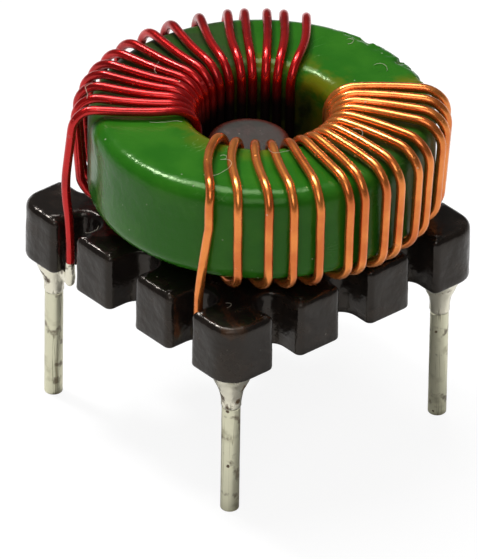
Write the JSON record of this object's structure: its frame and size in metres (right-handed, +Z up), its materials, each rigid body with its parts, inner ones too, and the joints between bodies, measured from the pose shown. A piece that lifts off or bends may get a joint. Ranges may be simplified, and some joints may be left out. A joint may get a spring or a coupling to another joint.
{
  "type": "toroidal inductor",
  "caption": "Coated toroid core with two separate enamelled wire windings, lying flat on a square black header with notched sides and long round solder pins.",
  "frame": {"origin": "middle of the square of four pins, level with the pin tips", "axes": "+Z up along the pins from their tips to the header and the toroid's axis; +X and +Y along the header's sides"},
  "size_m": [0.0209, 0.0194, 0.0203],
  "materials": {
    "header_plastic": "glossy black moulding with a little varnish and dust",
    "ferrite": "pressed and sintered, dark grey",
    "green_coat": "glossy green epoxy coat, chipped at the rim",
    "red_enamel": "clear red enamel on copper wire",
    "copper_enamel": "clear enamel on copper wire",
    "tinned_wire": "dull tinned metal with flux specks",
    "solder": "bright solder with brown flux"
  },
  "bodies": {
    "root": {"base_header": "header_plastic", "ferrite_core": "ferrite", "core_coating": "green_coat", "red_winding": "red_enamel", "copper_winding": "copper_enamel", "pin_front": "tinned_wire", "pin_right": "tinned_wire", "pin_back": "tinned_wire", "pin_left": "tinned_wire", "solder_front": "solder", "solder_right": "solder", "solder_back": "solder", "solder_left": "solder"}
  },
  "joints": []
}
